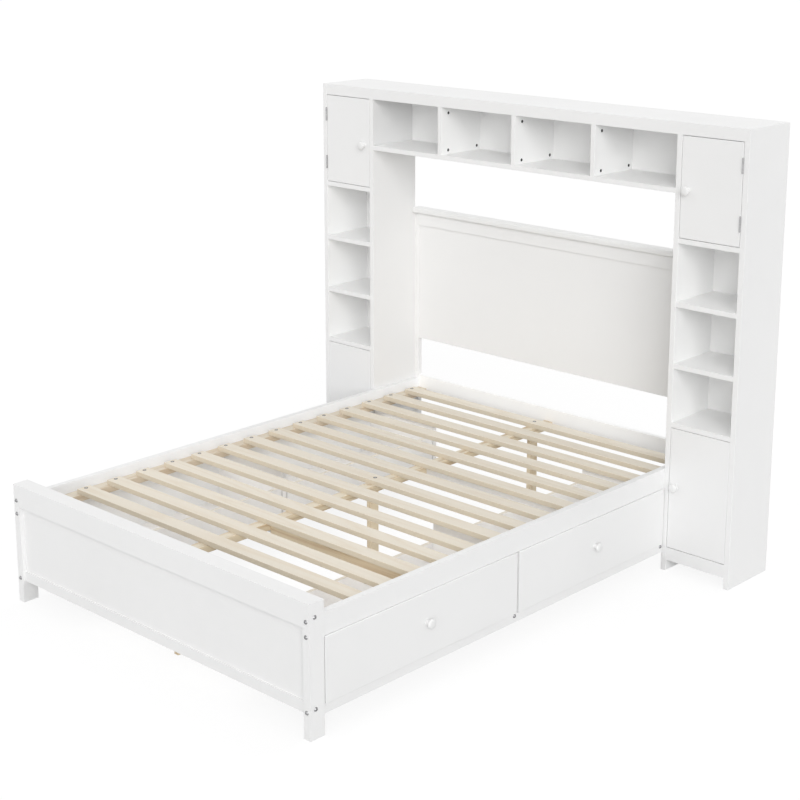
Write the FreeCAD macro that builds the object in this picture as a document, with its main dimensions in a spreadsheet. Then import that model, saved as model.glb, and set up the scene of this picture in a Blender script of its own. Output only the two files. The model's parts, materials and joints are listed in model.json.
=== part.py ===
import FreeCAD, Part
import math
import os
import re
import Sketcher

# Storage bed for a full-size mattress: four drawers under the slats, two bookcase towers
# beside the headboard and a row of open cubbies that bridges the towers.
# +X is the bed's right seen from the foot, +Y points to the head, +Z is up.
# The origin is on the floor under the middle of the bed. Right-hand pieces are drawn,
# left-hand pieces are their mirror images.

doc = FreeCAD.newDocument("storage_bed")

SIZES = {
    # Plan of the bed and the towers
    "rail_span": 1440,
    "foot_to_tower": 1745,
    "tower_width": 283,
    "tower_depth": 248,
    # Boards of the towers and the bridge
    "side_board": 20,
    "shelf_board": 18,
    "back_board": 6,
    "back_inset": 12,
    "groove": 6,
    "fascia_height": 43,
    # Levels in a tower, from the floor up
    "plinth_gap": 41,
    "plinth_height": 48,
    "lower_cabinet": 450,
    "low_cubby": 197,
    "middle_cubby": 203,
    "high_cubby": 207,
    "upper_cabinet": 356,
    "bridge_cubby": 184,
    # Side rails and the drawer opening between them
    "rail_top": 380,
    "rail_board": 22,
    "upper_rail_height": 73,
    "drawer_opening": 212,
    "lower_rail_face": 30,
    "lower_rail_board": 40,
    "lower_rebate_height": 19,
    "lower_rebate_depth": 18,
    # Footboard
    "foot_height": 424,
    "foot_post_width": 28,
    "foot_post_depth": 58,
    "post_proud": 5,
    "foot_rail_height": 78,
    "foot_panel_bottom": 76,
    "foot_panel_board": 12,
    "foot_panel_inset": 16,
    "foot_low_rail_height": 36,
    "foot_low_rail_board": 26,
    "foot_low_rail_inset": 10,
    # Headboard
    "head_post_width": 48,
    "head_post_depth": 20,
    "head_post_reveal": 20,
    "head_rail_rise": 13,
    "head_rail_height": 93,
    "headboard_bottom": 555,
    "headboard_top": 1111,
    "head_panel_board": 14,
    "head_panel_inset": 3,
    "head_top_rail_height": 50,
    "head_top_rail_proud": 3,
    "cap_board": 24,
    "cap_depth": 42,
    "cap_behind": 25,
    "cap_rounding": 8,
    # Slats and what carries them
    "slat_count": 14,
    "slat_width": 55,
    "slat_board": 18,
    "slat_drop": 19,
    "slat_end_gap": 28,
    "slat_foot_gap": 189,
    "slat_head_gap": 88,
    "ledger_width": 45,
    "ledger_height": 25,
    "beam_width": 40,
    "beam_height": 27,
    "lap_length": 57,
    "lap_play": 1,
    "splice_offset": 26.5,
    "leg_width": 20,
    "leg_depth": 40,
    "leg_foot_gap": 60,
    "leg_head_gap": 100,
    "brace_board": 18,
    "brace_height": 45,
    "slat_count_to_foot_brace": 3,
    "slat_count_to_head_brace": 9,
    "bracket_width": 30,
    "bracket_plate": 2,
    "bracket_tab": 36,
    "bracket_flange": 32,
    "bracket_drop": 15,
    # Drawers
    "foot_bay": 872,
    "divider_offset": 12,
    "partition_board": 18,
    "drawer_depth": 353,
    "drawer_front_board": 20,
    "drawer_proud": 5,
    "drawer_gap": 1,
    "drawer_post_gap": 5,
    "drawer_tower_gap": 3,
    "drawer_meeting_gap": 10,
    "front_rounding": 2,
    "drawer_side_board": 14,
    "drawer_back_board": 14,
    "drawer_bottom_board": 6,
    "drawer_bottom_lift": 10,
    "drawer_box_lift": 23,
    "drawer_box_height": 140,
    "runner_gap": 6,
    "runner_reach": 5,
    "runner_play": 1,
    "runner_height": 16,
    "runner_end_gap": 8,
    # Doors, their butt hinges and their pivots
    "door_board": 18,
    "door_gap": 2,
    "door_rounding": 1.5,
    "hinge_leaf": 1,
    "leaf_play": 0.4,
    "leaf_depth": 14,
    "hinge_height": 52,
    "hinge_inset": 52,
    "barrel_radius": 3,
    "hinge_pin_radius": 1.45,
    "pin_head": 1.5,
    "pin_play": 0.05,
    "knuckle_play": 0.2,
    "pivot_gap": 1.2,
    "pivot_radius": 2.5,
    "pivot_length": 14,
    "pivot_flange_radius": 5,
    "pivot_flange": 1.2,
    "pivot_edge": 12,
    "pivot_face": 5,
    # Knobs
    "knob_radius": 16,
    "knob_height": 26,
    "knob_base_radius": 9,
    "knob_neck_radius": 6.5,
    "knob_neck_height": 12.5,
    "knob_rim_height": 18.5,
    "knob_sides": 24,
    "door_knob_inset": 28,
    "drawer_knob_height": 113,
    "lower_knob_height": 235,
    "upper_knob_height": 169,
    # Bolts of the frame
    "bolt_radius": 3,
    "bolt_play": 0.2,
    "bolt_head_radius": 6,
    "bolt_head": 2.5,
    "rail_bolt_length": 90,
    "side_bolt_length": 58,
    "divider_bolt_length": 65,
    "rail_bolt_edge": 13,
    "low_bolt_rise": 21.5,
    "side_bolt_inset": 22,
    "side_bolt_drop": 45,
    "side_bolt_rise": 19,
    "divider_bolt_rise": 22.5,
}

# Places worked out from the sizes
PLACES = {
    "foot_y": "(bolt_head - foot_to_tower - tower_depth - cap_behind) / 2",
    "foot_back_y": "foot_y + foot_post_depth",
    "tower_y": "foot_y + foot_to_tower",
    "tower_back_y": "tower_y + tower_depth",
    "bed_length": "tower_back_y - foot_back_y",
    "rail_x": "rail_span / 2",
    "rail_inner_x": "rail_x - rail_board",
    "post_x": "rail_x + post_proud",
    "post_inner_x": "post_x - foot_post_width",
    "upper_rail_z": "rail_top - upper_rail_height",
    "opening_z": "upper_rail_z - drawer_opening",
    "lower_rail_z": "opening_z - lower_rail_face",
    "lower_rail_height": "lower_rail_face + lower_rebate_height",
    "foot_rail_z": "foot_height - foot_rail_height",
    # Towers and bridge
    "shelf_x": "rail_x + side_board",
    "shelf_end_x": "rail_x + tower_width - side_board",
    "back_y": "tower_back_y - back_inset - back_board",
    "board_depth": "back_y - tower_y",
    "cabinet_floor": "plinth_gap + plinth_height",
    "cabinet_top": "cabinet_floor + lower_cabinet",
    "low_cubby_top": "cabinet_top + shelf_board + low_cubby",
    "middle_cubby_top": "low_cubby_top + shelf_board + middle_cubby",
    "high_cubby_top": "middle_cubby_top + shelf_board + high_cubby",
    "upper_cabinet_floor": "high_cubby_top + shelf_board",
    "fascia_z": "upper_cabinet_floor + upper_cabinet",
    "top_z": "fascia_z + fascia_height - shelf_board",
    "bridge_z": "fascia_z - bridge_cubby - shelf_board",
    "divider_pitch": "(rail_span - 3 * shelf_board) / 4 + shelf_board",
    # Headboard
    "head_x": "rail_x - head_post_reveal",
    "cap_z": "headboard_top - cap_board",
    "head_rail_top": "rail_top + head_rail_rise",
    # Slats
    "slat_z": "rail_top - slat_drop - slat_board",
    "slat_half": "rail_inner_x - slat_end_gap",
    "first_slat_y": "foot_back_y + slat_foot_gap",
    "slat_pitch": "(bed_length - slat_foot_gap - slat_head_gap) / (slat_count - 1)",
    "beam_z": "slat_z - beam_height",
    "first_leg_y": "foot_back_y + leg_foot_gap",
    "last_leg_y": "tower_back_y - leg_head_gap",
    "middle_leg_y": "foot_back_y + bed_length / 2 - splice_offset",
    # Drawers
    "meeting_y": "foot_back_y + foot_bay",
    "divider_y": "meeting_y - divider_offset - partition_board / 2",
    "front_x": "rail_x + drawer_proud",
    "drawer_back_x": "front_x - drawer_depth",
    "partition_top": "slat_z - ledger_height",
    "box_z": "opening_z + drawer_box_lift",
    "runner_z": "box_z + (drawer_box_height - runner_height) / 2",
    "box_length": "drawer_depth - drawer_front_board",
    # Doors
    "door_x": "shelf_x + door_gap",
    "hinge_gap": "2 * hinge_leaf + leaf_play",
    "door_end_x": "shelf_end_x - hinge_gap",
    "door_width": "door_end_x - door_x",
    "hinge_x": "shelf_end_x - hinge_gap / 2",
    "hinge_y": "tower_y - barrel_radius",
    "knuckle": "hinge_height / 3",
    "upper_door_z": "upper_cabinet_floor + door_gap",
    "upper_door_height": "upper_cabinet - 2 * door_gap",
    "lower_door_z": "cabinet_floor + door_gap",
    "lower_door_height": "lower_cabinet - 2 * door_gap",
    "lower_door_end_x": "shelf_end_x - pivot_gap",
    "pivot_x": "lower_door_end_x - pivot_edge",
    "pivot_y": "tower_y + pivot_face",
    "knob_x": "door_x + door_knob_inset",
}

owner = {}


def qualify(text, home=None):
    """The expression with each name led by the sheet that holds it."""
    def full_name(match):
        word = match.group()
        return word if owner[word] == home else owner[word] + "." + word
    return re.sub(r"[a-z][a-z_]*", full_name, text)


def fill_sheet(name, cells, formula):
    """A sheet with one named cell in each row."""
    sheet = doc.addObject("Spreadsheet::Sheet", name)
    for row, alias in enumerate(cells, start=1):
        owner[alias] = name
        sheet.set("A%d" % row, alias)
        sheet.setAlias("B%d" % row, alias)
        content = str(cells[alias])
        sheet.set("B%d" % row, "=" + qualify(content, name) if formula else content)
    return sheet


fill_sheet("Sizes", SIZES, formula=False)
fill_sheet("Places", PLACES, formula=True)
doc.recompute()


def number(text):
    """The value of an expression, in millimetres."""
    return float(doc.Sizes.evalExpression(qualify(text)))


def bind(item, **sizes):
    """Ties properties of an object to expressions."""
    for name, text in sizes.items():
        item.setExpression(name, qualify(text))
    return item


def place(item, at):
    """Ties an object's position to three expressions."""
    for axis, text in zip("xyz", at):
        item.setExpression("Placement.Base." + axis, qualify(text))
    return item


PLANE_ACROSS = {"x": "YZ_Plane", "y": "XZ_Plane", "z": "XY_Plane"}
ORIGIN_POINT = (-1, 1)
LEVEL_WITH_ORIGIN = {"DistanceX": "Vertical", "DistanceY": "Horizontal"}


def fix_corner(sketch, line, corner):
    """Holds the start of a line at its two coordinates."""
    for kind, text in zip(("DistanceX", "DistanceY"), corner):
        if text == "0":
            sketch.addConstraint(Sketcher.Constraint(LEVEL_WITH_ORIGIN[kind], *ORIGIN_POINT, line, 1))
            continue
        name = "%s_%d" % (kind, line)
        row = sketch.addConstraint(Sketcher.Constraint(kind, *ORIGIN_POINT, line, 1, number(text)))
        sketch.renameConstraint(row, name)
        sketch.setExpression("Constraints." + name, qualify(text))


def extrusion(name, along, outline, length, at):
    """A body padded along one axis from a closed outline of straight edges."""
    body = doc.addObject("PartDesign::Body", name)
    sketch = body.newObject("Sketcher::SketchObject", name + "_outline")
    plane = [item for item in body.Origin.OriginFeatures if item.Role == PLANE_ACROSS[along]][0]
    sketch.AttachmentSupport = [(plane, "")]
    sketch.MapMode = "FlatFace"
    corners = [FreeCAD.Vector(number(u), number(v), 0) for u, v in outline]
    count = len(corners)
    for index, corner in enumerate(corners):
        sketch.addGeometry(Part.LineSegment(corner, corners[(index + 1) % count]))
    for index in range(count):
        sketch.addConstraint(Sketcher.Constraint("Coincident", index, 2, (index + 1) % count, 1))
    for index, corner in enumerate(outline):
        fix_corner(sketch, index, corner)
    pad = body.newObject("PartDesign::Pad", name + "_pad")
    pad.Profile = sketch
    pad.Reversed = along == "y"
    bind(pad, Length=length)
    return place(body, at)


def board(name, along, width, height, length, at):
    """A straight board with a rectangular section."""
    outline = [("0", "0"), (width, "0"), (width, height), ("0", height)]
    return extrusion(name, along, outline, length, at)


def round_edges(body, radius, wanted):
    """Rounds the edges of a body for which wanted(edge, box) is true."""
    doc.recompute()
    tip = body.Tip
    box = tip.Shape.BoundBox
    names = ["Edge%d" % (row + 1) for row, edge in enumerate(tip.Shape.Edges) if wanted(edge.BoundBox, box)]
    rounding = body.newObject("PartDesign::Fillet", body.Name + "_rounding")
    rounding.Base = (tip, names)
    bind(rounding, Radius=radius)
    body.Tip = rounding
    return body


def cylinder(name, radius, length, at, direction="z"):
    """A round bar from a point along +Y, +Z or -X."""
    item = doc.addObject("Part::Cylinder", name)
    bind(item, Radius=radius, Height=length)
    turn = {
        "-x": FreeCAD.Rotation(FreeCAD.Vector(0, 1, 0), -90),
        "y": FreeCAD.Rotation(FreeCAD.Vector(1, 0, 0), -90),
        "z": FreeCAD.Rotation(),
    }
    item.Placement = FreeCAD.Placement(FreeCAD.Vector(), turn[direction])
    return place(item, at)


def box(name, size, at):
    """A plain block, for the small metal pieces."""
    item = doc.addObject("Part::Box", name)
    bind(item, Length=size[0], Width=size[1], Height=size[2])
    return place(item, at)


def fuse(name, shapes):
    item = doc.addObject("Part::MultiFuse", name)
    item.Shapes = shapes
    return item


def cut(name, base, tool):
    item = doc.addObject("Part::Cut", name)
    item.Base = base
    item.Tool = tool
    return item


def group(name, members):
    """Separate solids that share one node."""
    item = doc.addObject("Part::Compound", name)
    item.Links = members
    return item


def mirrored(name, source):
    """The left-hand twin of a right-hand piece."""
    item = doc.addObject("Part::Mirroring", name)
    item.Source = source
    item.Normal = FreeCAD.Vector(1, 0, 0)
    return item


nodes = {}


def node(label, item):
    """Registers an object as a sub-part under its own name."""
    item.Label = label
    nodes[label] = item
    return item


def pair(label, item):
    """Registers a right-hand piece and its left-hand twin as two sub-parts."""
    node(label + "_right", item)
    return node(label + "_left", mirrored(label + "_twin", item))


def both(label, items):
    """Registers right-hand pieces and their left-hand twins as one sub-part."""
    twins = [mirrored("%s_twin_%d" % (label, row), item) for row, item in enumerate(items)]
    return node(label, group(label + "_group", items + twins))


def bolts_and_bores():
    """The right-hand bolts of the frame, and the bores that their shanks pass through."""
    front_x = "post_x - foot_post_width / 2"
    side_y = "foot_y + side_bolt_inset"
    divider_mid = "divider_y + partition_board / 2"
    tower_mid = "tower_y - partition_board / 2"
    low_z = "lower_rail_z + divider_bolt_rise"
    places = {
        "rail_bolt_high": ((front_x, "foot_y", "rail_top - rail_bolt_edge"), "y", "rail_bolt_length"),
        "rail_bolt_mid": ((front_x, "foot_y", "upper_rail_z + rail_bolt_edge"), "y", "rail_bolt_length"),
        "rail_bolt_low": ((front_x, "foot_y", "lower_rail_z + low_bolt_rise"), "y", "rail_bolt_length"),
        "side_bolt_high": (("post_x", side_y, "foot_height - side_bolt_drop"), "-x", "side_bolt_length"),
        "side_bolt_low": (("post_x", side_y, "foot_panel_bottom + side_bolt_rise"), "-x", "side_bolt_length"),
        "divider_bolt": (("rail_x", divider_mid, low_z), "-x", "divider_bolt_length"),
        "tower_bolt": (("rail_x", tower_mid, low_z), "-x", "divider_bolt_length"),
    }
    bolts = []
    bores = []
    for name, ((x, y, z), direction, length) in places.items():
        shank = cylinder(name + "_shank", "bolt_radius", length, (x, y, z), direction)
        outside = (x, y + " - bolt_head", z) if direction == "y" else (x + " + bolt_head", y, z)
        head = cylinder(name + "_head", "bolt_head_radius", "bolt_head", outside, direction)
        bolts.append(fuse(name, [head, shank]))
        bore_length = length + " + bolt_play"
        bores.append(cylinder(name + "_bore", "bolt_radius + bolt_play", bore_length, (x, y, z), direction))
    return bolts, group("right_bores", bores)


bolts, right_bores = bolts_and_bores()
both("frame_bolts", bolts)
left_bores = mirrored("left_bores", right_bores)
all_bores = group("all_bores", [right_bores, left_bores])


def footboard():
    width = "2 * post_inner_x"
    left = "-post_inner_x"
    post_at = ("post_inner_x", "foot_y", "0")
    post = board("foot_post", "z", "foot_post_width", "foot_post_depth", "foot_height", post_at)
    both("foot_posts", [cut("foot_post_drilled", post, right_bores)])

    near = "foot_panel_inset"
    far = "foot_panel_inset + foot_panel_board"
    outline = [
        ("0", "0"), (near, "0"), (near, "groove"), (far, "groove"), (far, "0"),
        ("foot_post_depth", "0"), ("foot_post_depth", "foot_rail_height"), ("0", "foot_rail_height"),
    ]
    top_rail = extrusion("foot_top_rail", "x", outline, width, (left, "foot_y", "foot_rail_z"))
    node("footboard_top_rail", cut("foot_top_rail_drilled", top_rail, all_bores))

    near = "foot_panel_inset - foot_low_rail_inset"
    far = near + " + foot_panel_board"
    height = "foot_low_rail_height"
    floor = height + " - groove"
    outline = [
        ("0", "0"), ("foot_low_rail_board", "0"), ("foot_low_rail_board", height), (far, height),
        (far, floor), (near, floor), (near, height), ("0", height),
    ]
    low_at = (left, "foot_y + foot_low_rail_inset", "foot_panel_bottom")
    low_rail = extrusion("foot_low_rail", "x", outline, width, low_at)
    node("footboard_bottom_rail", cut("foot_low_rail_drilled", low_rail, all_bores))

    panel_z = "foot_panel_bottom + foot_low_rail_height - groove"
    panel_height = "foot_rail_z - foot_panel_bottom - foot_low_rail_height + 2 * groove"
    panel_at = (left, "foot_y + foot_panel_inset", panel_z)
    node("footboard_panel", board("foot_panel", "y", width, panel_height, "foot_panel_board", panel_at))


def side_rails():
    upper_at = ("rail_inner_x", "foot_back_y", "upper_rail_z")
    upper = board("upper_rail", "y", "rail_board", "upper_rail_height", "bed_length", upper_at)
    pair("upper_side_rail", cut("upper_rail_drilled", upper, right_bores))

    width = "lower_rail_board"
    inside = "lower_rail_board - lower_rebate_depth"
    outline = [
        ("0", "0"), (width, "0"), (width, "lower_rail_face"), (inside, "lower_rail_face"),
        (inside, "lower_rail_height"), ("0", "lower_rail_height"),
    ]
    lower_at = ("rail_x - lower_rail_board", "foot_back_y", "lower_rail_z")
    lower = extrusion("lower_rail", "y", outline, "bed_length", lower_at)
    both("lower_side_rails", [cut("lower_rail_drilled", lower, right_bores)])

    ledger_at = ("rail_inner_x - ledger_width", "foot_back_y", "partition_top")
    both("slat_ledgers", [board("ledger", "y", "ledger_width", "ledger_height", "bed_length", ledger_at)])


def partitions_and_runners():
    """Upright boards inside each side rail, with the hardwood strips that the drawers run on."""
    low_end = "rail_x - lower_rail_board - drawer_back_x"
    high_end = "rail_inner_x - drawer_back_x"
    height = "partition_top - lower_rail_z"
    outline = [
        ("0", "0"), (low_end, "0"), (low_end, "lower_rail_height"), (high_end, "lower_rail_height"),
        (high_end, height), ("0", height),
    ]
    stations = {"foot": "foot_back_y", "middle": "divider_y", "head": "tower_y - partition_board"}
    boards = []
    for name, y in stations.items():
        at = ("drawer_back_x", y, "lower_rail_z")
        blank = extrusion("partition_" + name, "y", outline, "partition_board", at)
        boards.append(cut("partition_%s_drilled" % name, blank, right_bores))
    both("drawer_partitions", boards)

    strips = {
        "foot_near": "foot_back_y + partition_board",
        "foot_far": "divider_y - runner_gap - runner_reach",
        "head_near": "divider_y + partition_board",
        "head_far": "tower_y - partition_board - runner_gap - runner_reach",
    }
    length = "rail_inner_x - drawer_back_x - 2 * runner_end_gap"
    runners = []
    for name, y in strips.items():
        at = ("drawer_back_x + runner_end_gap", y, "runner_z")
        width = "runner_gap + runner_reach"
        runners.append(board("runner_" + name, "x", width, "runner_height", length, at))
    both("drawer_runners", runners)


def spliced_beam():
    """The two halves of the centre beam, halved into each other over the middle leg."""
    middle = "beam_height / 2"
    lap_start = "middle_leg_y - lap_length / 2 - foot_back_y"
    lap_end = "middle_leg_y + lap_length / 2 - foot_back_y"
    foot_outline = [
        ("0", "0"), (lap_end, "0"), (lap_end, middle), (lap_start, middle), (lap_start, "beam_height"),
        ("0", "beam_height"),
    ]
    upper_start = lap_start + " + lap_play"
    lower_start = lap_end + " + lap_play"
    head_outline = [
        (lower_start, "0"), ("bed_length", "0"), ("bed_length", "beam_height"), (upper_start, "beam_height"),
        (upper_start, middle), (lower_start, middle),
    ]
    at = ("-beam_width / 2", "foot_back_y", "beam_z")
    outlines = {"foot_beam": foot_outline, "head_beam": head_outline}
    return [extrusion(name, "x", outline, "beam_width", at) for name, outline in outlines.items()]


def slat_base():
    slat_at = ("-slat_half", "first_slat_y - slat_width / 2", "slat_z")
    slat = board("slat", "x", "slat_width", "slat_board", "2 * slat_half", slat_at)
    row = slat.newObject("PartDesign::LinearPattern", "slat_row")
    row.Originals = [slat.Tip]
    row.Direction = ([item for item in slat.Origin.OriginFeatures if item.Role == "Y_Axis"][0], [""])
    bind(row, Length="slat_pitch * (slat_count - 1)", Occurrences="slat_count")
    slat.Tip = row
    node("slats", slat)

    node("centre_beam", group("beam_halves", spliced_beam()))
    legs = []
    for name in ("first", "middle", "last"):
        at = ("-leg_width / 2", name + "_leg_y - leg_depth / 2", "0")
        legs.append(board(name + "_leg", "z", "leg_width", "leg_depth", "beam_z", at))
    node("centre_legs", group("leg_group", legs))

    brace_length = "rail_inner_x - ledger_width - beam_width / 2"
    for name in ("foot", "head"):
        y = "first_slat_y + slat_pitch * (slat_count_to_%s_brace - 1) - brace_board / 2" % name
        at = ("beam_width / 2", y, "slat_z - brace_height")
        brace = board(name + "_brace", "x", "brace_board", "brace_height", brace_length, at)
        node("cross_brace_" + name, brace)

    plate = "bracket_plate"
    foot_outline = [
        ("0", "0"), ("bracket_tab", "0"), ("bracket_tab", plate), (plate, plate),
        (plate, "bracket_flange"), ("0", "bracket_flange"),
    ]
    inner = "bracket_tab - bracket_plate"
    tab_bottom = "bracket_drop - bracket_plate"
    head_outline = [
        (inner, "0"), ("bracket_tab", "0"), ("bracket_tab", "bracket_drop"), ("0", "bracket_drop"),
        ("0", tab_bottom), (inner, tab_bottom),
    ]
    left = "-bracket_width / 2"
    foot_at = (left, "foot_back_y", "slat_z")
    head_at = (left, "tower_back_y - bracket_tab", "beam_z - bracket_drop")
    foot_bracket = extrusion("foot_bracket", "x", foot_outline, "bracket_width", foot_at)
    head_bracket = extrusion("head_bracket", "x", head_outline, "bracket_width", head_at)
    node("beam_brackets", group("bracket_group", [foot_bracket, head_bracket]))


def headboard():
    width = "2 * head_x"
    panel_top = "cap_z - head_top_rail_height + groove"
    panel_at = ("-head_x - groove", "tower_back_y + head_panel_inset", "headboard_bottom")
    panel_height = panel_top + " - headboard_bottom"
    panel = board("head_panel", "y", width + " + 2 * groove", panel_height, "head_panel_board", panel_at)
    node("headboard_panel", panel)

    post_at = ("head_x", "tower_back_y", "0")
    post = board("head_post", "z", "head_post_width", "head_post_depth", "cap_z", post_at)
    both("head_posts", [cut("head_post_grooved", post, panel)])

    rail_at = ("-head_x", "tower_back_y", "head_rail_top - head_rail_height")
    node("head_rail", board("head_low_rail", "x", "head_post_depth", "head_rail_height", width, rail_at))

    top_at = ("-head_x", "tower_back_y - head_top_rail_proud", "cap_z - head_top_rail_height")
    depth = "head_post_depth + head_top_rail_proud"
    top_rail = board("head_top_rail", "x", depth, "head_top_rail_height", width, top_at)
    node("headboard_top_rail", cut("head_top_rail_grooved", top_rail, panel))

    cap_at = ("-rail_x", "tower_back_y + cap_behind - cap_depth", "cap_z")
    cap = board("head_cap", "x", "cap_depth", "cap_board", "rail_span", cap_at)
    node("headboard_cap", round_edges(cap, "cap_rounding", lambda edge, whole: (
        edge.XLength > whole.XLength / 2 and edge.YMax < whole.Center.y)))


def inner_side(panels):
    """The upright side towards the bed: notched for the fascia and grooved for the back panels."""
    outline = [
        ("0", "0"), ("tower_depth", "0"), ("tower_depth", "top_z"), ("shelf_board", "top_z"),
        ("shelf_board", "fascia_z"), ("0", "fascia_z"),
    ]
    side = extrusion("inner_side", "x", outline, "side_board", ("rail_x", "tower_y", "0"))
    return cut("inner_side_grooved", side, panels)


def outer_side(panel):
    """The upright side that shows: it runs to the top and is grooved for the back panel."""
    side = board("outer_side", "x", "tower_depth", "fascia_z + fascia_height", "side_board",
                 ("shelf_end_x", "tower_y", "0"))
    return cut("outer_side_grooved", side, panel)


def towers_and_bridge():
    width = "shelf_end_x - shelf_x"
    back_bottom = "cabinet_floor - shelf_board"
    back_height = "top_z - cabinet_floor + shelf_board"
    back = board("tower_back", "y", width + " + 2 * groove", back_height, "back_board",
                 ("shelf_x - groove", "back_y", back_bottom))
    both("tower_backs", [back])
    bridge_back = board("bridge_back_panel", "y", "rail_span + 2 * groove", "top_z - bridge_z", "back_board",
                        ("-rail_x - groove", "back_y", "bridge_z"))
    node("bridge_back", bridge_back)

    pair("tower_outer_side", outer_side(back))
    pair("tower_inner_side", inner_side(group("inner_panels", [back, bridge_back])))

    floor_at = ("shelf_x", "tower_y + shelf_board", back_bottom)
    shelves = [board("cabinet_floor_board", "z", width, "board_depth - shelf_board", "shelf_board", floor_at)]
    for level in ("cabinet_top", "low_cubby_top", "middle_cubby_top", "high_cubby_top"):
        at = ("shelf_x", "tower_y", level)
        shelves.append(board("shelf_at_" + level, "z", width, "board_depth", "shelf_board", at))
    pair("tower_shelves", group("tower_shelf_group", shelves))
    plinth_at = ("shelf_x", "tower_y", "plinth_gap")
    both("tower_plinths", [board("plinth", "y", width, "plinth_height", "shelf_board", plinth_at)])

    over = "2 * shelf_end_x"
    top_at = ("-shelf_end_x", "tower_y + shelf_board", "top_z")
    node("bridge_top", board("top_board", "z", over, "tower_depth - shelf_board", "shelf_board", top_at))
    fascia_at = ("-shelf_end_x", "tower_y", "fascia_z")
    node("bridge_fascia", board("fascia", "y", over, "fascia_height", "shelf_board", fascia_at))
    bottom_at = ("-rail_x", "tower_y", "bridge_z")
    node("bridge_bottom", board("bridge_board", "z", "rail_span", "board_depth", "shelf_board", bottom_at))

    foot_of_divider = "bridge_z + shelf_board"
    full = "top_z - bridge_z - shelf_board"
    outline = [
        ("0", "0"), ("board_depth", "0"), ("board_depth", full), ("shelf_board", full),
        ("shelf_board", "bridge_cubby"), ("0", "bridge_cubby"),
    ]
    dividers = []
    for name, x in (("left", "-divider_pitch"), ("middle", "0"), ("right", "divider_pitch")):
        at = (x + " - shelf_board / 2", "tower_y", foot_of_divider)
        dividers.append(extrusion("divider_" + name, "x", outline, "shelf_board", at))
    node("bridge_dividers", group("divider_group", dividers))


# Steps in degrees along the quarter ellipses of a knob
UNDERSIDE_TURNS = (30, 60, 90)
CROWN_TURNS = (30, 55, 76)


def knob_rings():
    """Radius and height of each ring of a knob: a waisted stem, a flared underside and a crown."""
    rings = [("knob_base_radius", "0"), ("knob_neck_radius", "knob_neck_height")]
    flare = "(knob_radius - knob_neck_radius)"
    rise = "(knob_rim_height - knob_neck_height)"
    for turn in UNDERSIDE_TURNS:
        out, up = math.sin(math.radians(turn)), 1 - math.cos(math.radians(turn))
        reach = "knob_neck_radius + %s * %.4f" % (flare, out)
        rings.append((reach, "knob_neck_height + %s * %.4f" % (rise, up)))
    crown = "(knob_height - knob_rim_height)"
    for turn in CROWN_TURNS:
        out, up = math.cos(math.radians(turn)), math.sin(math.radians(turn))
        rings.append(("knob_radius * %.4f" % out, "knob_rim_height + %s * %.4f" % (crown, up)))
    return rings


def facet(corners):
    return Part.Face(Part.makePolygon(corners + corners[:1]))


def knob(name, at, axis, angle):
    """A turned mushroom knob, in flat facets from ring to ring."""
    sides = round(number("knob_sides"))
    turns = [math.tau * side / sides for side in range(sides)]
    loops = []
    for radius, height in knob_rings():
        reach, level = number(radius), number(height)
        loops.append([FreeCAD.Vector(reach * math.cos(turn), reach * math.sin(turn), level) for turn in turns])
    facets = [facet(loops[0]), facet(loops[-1])]
    for lower, upper in zip(loops, loops[1:]):
        for side in range(sides):
            after = (side + 1) % sides
            facets.append(facet([lower[side], lower[after], upper[after], upper[side]]))
    item = doc.addObject("Part::Feature", name)
    item.Shape = Part.Solid(Part.Shell(facets))
    item.Placement = FreeCAD.Placement(FreeCAD.Vector(), FreeCAD.Rotation(FreeCAD.Vector(*axis), angle))
    return place(item, at)


def door_knob(name, z):
    return knob(name, ("knob_x", "tower_y", z), (1, 0, 0), 90)


def front_edges(edge, whole):
    """The edges round a door's front face."""
    return edge.YMax < whole.Center.y


def hinge_leaf(name, x, z, spans):
    """One leaf of a butt hinge: a plate, and a tongue and a knuckle for each span of the barrel."""
    plate_at = (x, "tower_y + leaf_play", z)
    pieces = [box(name + "_plate", ("hinge_leaf", "leaf_depth", "hinge_height"), plate_at)]
    for row, (start, length) in enumerate(spans):
        level = z + " + " + start
        tongue = box("%s_tongue_%d" % (name, row), ("hinge_leaf", "barrel_radius + leaf_play", length),
                     (x, "hinge_y", level))
        barrel = cylinder("%s_barrel_%d" % (name, row), "barrel_radius", length, ("hinge_x", "hinge_y", level))
        pieces += [tongue, barrel]
    bore = cylinder(name + "_bore", "hinge_pin_radius + pin_play", "hinge_height", ("hinge_x", "hinge_y", z))
    return cut(name, fuse(name + "_solid", pieces), bore)


def hinge_pin(name, z):
    """A loose pin through the knuckles, with a flat head that rests on the top one."""
    shank = cylinder(name + "_shank", "hinge_pin_radius", "hinge_height", ("hinge_x", "hinge_y", z))
    top = z + " + hinge_height"
    head = cylinder(name + "_head", "barrel_radius", "pin_head", ("hinge_x", "hinge_y", top))
    return fuse(name, [shank, head])


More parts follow.
